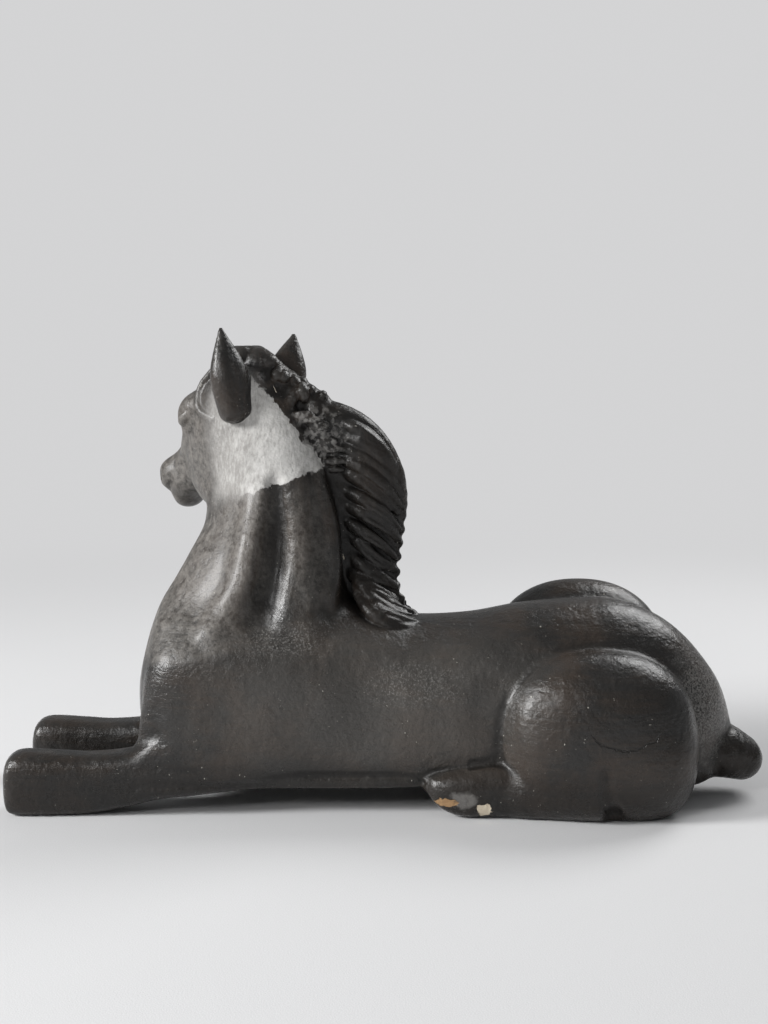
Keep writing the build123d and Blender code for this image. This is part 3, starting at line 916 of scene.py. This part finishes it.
COAT_BLACK = (0.019, 0.018, 0.017)
COAT_BROWN = (0.036, 0.027, 0.021)
COAT_GREY = (0.046, 0.043, 0.040)
# the rubbed grey ground, also made paler as painted light on the cheek
WORN_AND_LIT_GREY = (0.56, 0.55, 0.53)
WORN_DARK = (0.29, 0.28, 0.265)
# dust, and painted light on the lit front and painted sheen on the near side of the barrel
DUST_AND_LIGHT_GREY = (0.215, 0.20, 0.182)
CHIP_CREAM = (0.62, 0.52, 0.38)
CHIP_BROWN = (0.24, 0.13, 0.06)
SPECK_PALE = (0.45, 0.43, 0.38)
# near black: painted shade in hollows and towards the floor, the hair's darkening, and the dark crack
SHADE_AND_CRACK_BLACK = (0.008, 0.007, 0.006)
HAIR_DARKENING = 0.5  # how much the hair's colour is darkened everywhere


def cheek_wear_and_light(look):
    """The rubbed side of the head, its pale ground also painted paler as painted light on the lit cheek, and how far
    back on it a place is. The edge is sharp towards the mane and soft towards the face and the throat."""
    wander = look.math("MULTIPLY", look.math("SUBTRACT", look.noise(9, 5, 0.6), 0.5), 14)
    along_mane = look.depth((-78, 0, 289), (-0.78, 0, -0.62))
    under_jaw = look.depth((-70, 0, 246), (-0.30, 0, 0.95))
    inside = look.math("ADD", look.math("MINIMUM", along_mane, under_jaw), wander)
    rearward = look.fade(look.depth((-104, 0, 0), (1, 0, 0)), -16, 16)
    sharp = look.blend(rearward, look.fade(inside, -9, 9), look.fade(inside, -0.7, 0.7))
    face = look.fade(look.depth((-136, 0, 0), (1, 0, 0)), -14, 14)
    left_side = look.fade(look.depth((0, -2, 0), (0, -1, 0)), -8, 8)
    return look.math("MULTIPLY", look.math("MULTIPLY", sharp, face), left_side), rearward


def dust_and_light_front(look):
    """Where handling has dulled the coat, lightened further as painted light where light falls: the face, the breast
    above the shoulders and the neck's cords.
    """
    breast = look.spot((-150, -20, 150), (46, 60, 84), 0.25, 0.45, grain=30)
    cord = look.spot((-112, -34, 205), (20, 30, 52), 0.25, 0.45, grain=24)
    # painted light: only the tops above the shoulders are lightened, the shoulders' sides stay dark
    above_shoulder = look.fade(look.depth((-140, 0, 118), (-0.18, 0, 0.98)), -4, 5)
    face = look.spot((-155, 48, 258), (44, 76, 52), 0.3, 0.5, grain=24)
    # painted light on the lit flank of the rear cord, over some rubbing
    rear_cord = look.spot((-63, -44, 196), (17, 24, 52), 0.25, 0.5, grain=16)
    front = look.math("MAXIMUM", look.math("MULTIPLY", breast, above_shoulder), cord)
    return look.math("MAXIMUM", look.math("MAXIMUM", front, face), look.math("MULTIPLY", rear_cord, 0.6))


def coat_look(name, is_worn_and_lit=False, is_hair=False):
    """The dark coat, with painted shade in its hollows and towards the floor and painted light on its front. On the
    head and neck it is rubbed down to a grey ground, also painted lighter where light falls, on hair it is darker.
    """
    look = Look(name)
    edge, dip = look.attribute("edge"), look.attribute("dip")
    patches = look.noise(70, 5, 0.6, distortion=0.6)
    streaks = look.noise(3.2, 4, 0.65, stretch=(9, 6, 1))
    upright_streaks = look.noise(3.2, 4, 0.65, stretch=(1.4, 1.4, 8))
    on_neck = look.fade(look.depth((0, 0, 150), (0, 0, 1)), -14, 14)
    brush = look.blend(on_neck, streaks, upright_streaks)
    pores = look.noise(1.3, 5, 0.7)
    grain = look.noise(5, 3, 0.6)

    brown = look.fade(look.math("ADD", patches, look.math("MULTIPLY", brush, 0.35)), 0.56, 0.86)
    color = look.mix(brown, COAT_BLACK, COAT_BROWN)
    rubbed = look.math("ADD", look.math("MULTIPLY", edge, 1.3), look.math("MULTIPLY", look.noise(24, 6, 0.7), 0.9))
    # painted shade: the coat is darker towards the floor, and it is not rubbed there
    low = look.fade(look.depth((0, 0, 30), (0, 0, -1)), -14, 8)
    rubbed = look.math("MULTIPLY", look.fade(rubbed, 0.52, 0.95), look.math("SUBTRACT", 1, low))
    color = look.mix(look.math("MULTIPLY", rubbed, 0.75), color, COAT_GREY)
    # painted shade: the coat is darkened in its hollows, standing in for the shade that falls there
    hollow_shade = look.fade(dip, -0.8, 0.1, 1, 0)
    # the near side of the barrel is lightened with dust and painted sheen
    barrel = look.spot((-10, -62, 84), (120, 40, 62), 0.2, 0.5, grain=40)
    color = look.mix(look.math("MULTIPLY", barrel, 0.22), color, DUST_AND_LIGHT_GREY)
    shade_and_hair_darkening = look.math("MAXIMUM", look.math("MULTIPLY", hollow_shade, 0.85), look.math("MULTIPLY", low, 0.6))
    if is_hair:
        # hair away from the neck is darkened everywhere
        off_neck = look.fade(look.depth((-46, 0, 230), (0.98, 0, 0.22)), -2, 14)
        shade_and_hair_darkening = look.math("MAXIMUM", shade_and_hair_darkening, look.math("MULTIPLY", off_neck, HAIR_DARKENING))
    color = look.mix(shade_and_hair_darkening, color, SHADE_AND_CRACK_BLACK)

    # dust, with painted light on the lit breast, cords and face
    dust_and_light = look.math("MULTIPLY", dust_and_light_front(look), look.fade(look.noise(5, 6, 0.75), 0.25, 0.7))
    color = look.mix(look.math("MULTIPLY", dust_and_light, 0.75), color, DUST_AND_LIGHT_GREY)
    # the rubbed cheek's pale ground, which also stands in as painted light on the head
    worn_and_lit, rearward = cheek_wear_and_light(look) if is_worn_and_lit else (0.0, 0.0)
    powder = look.blend(0.5, look.noise(16, 6, 0.7), look.noise(2.2, 5, 0.7, stretch=(1, 1, 3)))
    powder = look.math("ADD", powder, look.math("MULTIPLY", rearward, 0.14))
    worn_and_lit_color = look.mix(look.fade(powder, 0.42, 0.70), WORN_DARK, WORN_AND_LIT_GREY)
    color = look.mix(look.math("MULTIPLY", worn_and_lit, 0.92), color, worn_and_lit_color)

    scuffs = look.math("MULTIPLY", look.spot((16, -64, 99), (34, 14, 17), 0.5, 0.5), look.fade(pores, 0.50, 0.68))
    more = look.math("MULTIPLY", look.spot((-74, -62, 132), (30, 14, 12), 0.5, 0.5), look.fade(pores, 0.48, 0.66))
    rump = look.math("MULTIPLY", look.spot((236, -34, 84), (26, 34, 40), 0.4, 0.5), look.fade(pores, 0.42, 0.58))
    frayed = look.math("MULTIPLY", look.spot((-54, -20, 276), (18, 16, 24), 0.5, 0.4), look.fade(grain, 0.45, 0.6))
    scuffs = look.math("MAXIMUM", look.math("MAXIMUM", scuffs, more), look.math("MAXIMUM", rump, frayed))
    color = look.mix(look.math("MULTIPLY", scuffs, 0.6), color, WORN_DARK)

    specks = look.math("MULTIPLY", look.fade(look.noise(1.7, 1, 0.4), 0.755, 0.785), look.fade(look.noise(22, 2), 0.5, 0.6))
    color = look.mix(specks, color, SPECK_PALE)

    crack = look.arc((166, -92, 84), (31, 44, 26), 0.035)
    color = look.mix(look.math("MULTIPLY", crack, 0.8), color, SHADE_AND_CRACK_BLACK)

    hoof_scuff = look.spot((52, -74, 15), (9, 9, 6), 0.35, 0.3)
    color = look.mix(look.math("MULTIPLY", hoof_scuff, 0.45), color, WORN_DARK)
    brown_chip = look.spot((37, -74, 13), (9, 9, 3.2), 0.5, 0.12, grain=4)
    color = look.mix(brown_chip, color, look.mix(look.noise(2.2), CHIP_BROWN, (0.40, 0.26, 0.13)))
    cream_chip = look.spot((67, -74, 7.5), (5.5, 9, 5), 0.4, 0.08, grain=5)
    color = look.mix(cream_chip, color, look.mix(look.noise(2.5), CHIP_CREAM, (0.74, 0.67, 0.54)))
    chips = look.math("MAXIMUM", cream_chip, brown_chip)

    roughness = look.fade(look.noise(16, 5, 0.65), 0.3, 0.7, 0.22, 0.38)
    roughness = look.blend(look.math("MULTIPLY", dust_and_light, 0.8), roughness, 0.62)
    roughness = look.blend(look.math("MAXIMUM", look.math("MULTIPLY", worn_and_lit, 0.85), chips), roughness, 0.78)
    roughness = look.blend(look.math("MULTIPLY", hollow_shade, 0.5), roughness, 0.6)

    normal = look.bump(look.noise(14, 3, 0.5), 1.5)
    normal = look.bump(brush, 0.4, normal)
    normal = look.bump(grain, 0.85, normal)
    normal = look.bump(pores, 0.2, normal)
    normal = look.bump(look.math("MULTIPLY", look.math("ADD", worn_and_lit, look.math("MULTIPLY", chips, 2)), -1), 0.6, normal)
    normal = look.bump(look.math("MULTIPLY", crack, -1), 0.7, normal)
    shine = 0.26 if is_hair else 0.36
    return look.finish(color, roughness, normal, specular_ior_level=shine, coat_weight=0.14, coat_roughness=0.22)


def plaster_look(name, pale, dark):
    look = Look(name)
    blotches = look.fade(look.noise(18, 6, 0.65), 0.3, 0.7)
    color = look.mix(blotches, dark, pale)
    color = look.mix(look.fade(look.noise(1.6, 2), 0.66, 0.72), color, tuple(0.5 * c for c in dark))
    normal = look.bump(look.noise(6, 6, 0.7), 0.8)
    return look.finish(color, look.fade(look.noise(9), 0, 1, 0.78, 0.95), normal)


def iron_look():
    look = Look("iron")
    rust = look.fade(look.noise(9, 7, 0.7), 0.44, 0.58)
    color = look.mix(rust, (0.05, 0.045, 0.042), look.mix(look.noise(2.5, 5), (0.16, 0.055, 0.02), (0.30, 0.13, 0.05)))
    normal = look.bump(look.noise(1.8, 6, 0.7), 0.35)
    shine = look.finish(color, look.blend(rust, 0.45, 0.9), normal, metallic=look.blend(rust, 0.9, 0.0))
    return shine


def scrim_look():
    """Open-weave cloth soaked in plaster."""
    look = Look("scrim")
    threads = []
    for axis in ((1, 0, 0), (0, 1, 0), (0, 0, 1)):
        turn = look.math("MULTIPLY", look.vector("DOT_PRODUCT", look.place, axis), 2 * math.pi / (2.2 * MM))
        threads.append(look.math("ABSOLUTE", look.math("SINE", turn)))
    weave = look.math("MULTIPLY", look.math("MULTIPLY", *threads[:2]), threads[2])
    color = look.mix(weave, (0.36, 0.30, 0.22), (0.70, 0.64, 0.52))
    color = look.mix(look.fade(look.noise(14, 5), 0.5, 0.7), color, (0.74, 0.70, 0.62))
    return look.finish(color, look.fade(look.noise(5), 0, 1, 0.8, 0.97), look.bump(weave, 0.5))


HEAD_SEAM_CENTRE = (-97, 4, 253)
HEAD_SEAM_LEAN = 37
FOOT_SEAM_X = 118.0
TAIL_SEAM_X = 240.0
WORN_AND_LIT_PIECES = ("head_shell", "neck_shell")
HAIR_PIECES = ("mane_crest", "tail")
SMALLEST_FACE = 0.5  # mm2
SKIN_SLACK = 0.04  # mm, how far outside the clay the edge of a cut face may run
COATED_DEPTH = 4.0  # mm, a cut face less deep than this under the skin is coated like the skin

clay = sculpt()
coat = coat_look("coat")
piece_coats = dict.fromkeys(WORN_AND_LIT_PIECES, coat_look("coat_worn_and_lit", is_worn_and_lit=True))
piece_coats.update(dict.fromkeys(HAIR_PIECES, coat_look("coat_hair", is_hair=True)))
raw_plaster = plaster_look("raw_plaster", (0.74, 0.68, 0.57), (0.50, 0.43, 0.33))
slot_looks = {"iron": iron_look(), "raw_plaster": raw_plaster, "scrim": scrim_look()}
for name, skin in cast_pieces(clay):
    make_piece(name, skin, clay, (piece_coats.get(name, coat), raw_plaster))
for subpart in frame["record"]["subparts"]:
    look = slot_looks.get(subpart["material_slot"])
    if look:
        node = frame["nodes"][subpart["node"]]
        node.data.materials.clear()
        node.data.materials.append(look)


# ---- studio ----
BACKDROP = (0.655, 0.655, 0.662)  # how pale the floor and the background are in the picture


def studio_world():
    """Seen by the camera it is the plain backdrop; as a light it is a room with pale walls."""
    world = bpy.data.worlds.new("studio")
    world.use_nodes = True
    tree = world.node_tree
    split = tree.nodes.new("ShaderNodeSeparateXYZ")
    tree.links.new(tree.nodes.new("ShaderNodeTexCoord").outputs["Generated"], split.inputs[0])
    ramp = tree.nodes.new("ShaderNodeMapRange")
    tree.links.new(split.outputs["X"], ramp.inputs["Value"])
    for name, value in (("From Min", -0.7), ("From Max", 0.7), ("To Min", 0.25), ("To Max", 0.21)):
        ramp.inputs[name].default_value = value
    room = tree.nodes["Background"]
    room.inputs["Color"].default_value = (0.97, 0.985, 1.0, 1)
    tree.links.new(ramp.outputs["Result"], room.inputs["Strength"])
    backdrop = tree.nodes.new("ShaderNodeBackground")
    backdrop.inputs["Color"].default_value = (*BACKDROP, 1)
    choose = tree.nodes.new("ShaderNodeMixShader")
    tree.links.new(tree.nodes.new("ShaderNodeLightPath").outputs["Is Camera Ray"], choose.inputs[0])
    tree.links.new(room.outputs[0], choose.inputs[1])
    tree.links.new(backdrop.outputs[0], choose.inputs[2])
    tree.links.new(choose.outputs[0], tree.nodes["World Output"].inputs["Surface"])
    return world


def floor_look():
    """Pale cloth near the statuette that fades into the plain backdrop further out."""
    look = Look("floor")
    weave = look.noise(1.1, 2, 0.6)
    color = look.mix(weave, (0.67, 0.67, 0.675), (0.76, 0.76, 0.765))
    look.finish(color, look.fade(look.noise(60), 0, 1, 0.85, 0.95), look.bump(weave, 0.15))
    distance = look.vector("LENGTH", look.place)
    far = look.fade(distance, 0.45, 1.5)
    glow = look.tree.nodes.new("ShaderNodeEmission")
    glow.inputs["Color"].default_value = (*BACKDROP, 1)
    choose = look.tree.nodes.new("ShaderNodeMixShader")
    look.put(far, choose.inputs[0])
    look.put(look.shader.outputs[0], choose.inputs[1])
    look.put(glow.outputs[0], choose.inputs[2])
    look.put(choose.outputs[0], look.tree.nodes["Material Output"].inputs["Surface"])
    return look.material


def lamp(name, location, target, size, power):
    data = bpy.data.lights.new(name, "AREA")
    data.shape = "DISK"
    data.energy = power
    data.size = size
    light = bpy.data.objects.new(name, data)
    light.location = location
    light.rotation_euler = (Vector(target) - Vector(location)).to_track_quat("-Z", "Y").to_euler()
    bpy.context.scene.collection.objects.link(light)


def studio():
    scene = bpy.context.scene
    camera_data = bpy.data.cameras.new("camera")
    camera_data.lens = 56.25
    camera_data.sensor_width = 36
    camera = bpy.data.objects.new("camera", camera_data)
    camera.location = (-0.006, -1.2, 0.364)
    camera.rotation_euler = (math.radians(90 - 6.98), 0, 0)
    scene.collection.objects.link(camera)
    scene.camera = camera

    bpy.ops.mesh.primitive_plane_add(size=40, location=(0, 0, 0))
    floor = bpy.context.object
    floor.name = "floor"
    floor.data.materials.append(floor_look())

    lamp("key_softbox", (-2.5, -0.85, 1.25), (-0.05, 0, 0.12), 0.9, 90)
    lamp("window", (-1.75, -2.65, 1.77), (0.05, 0, 0.08), 0.8, 22)
    lamp("back_softbox", (1.2, 1.1, 1.5), (0.1, 0, 0.1), 1.2, 24)
    scene.world = studio_world()
    scene.view_settings.view_transform = "Standard"


studio()
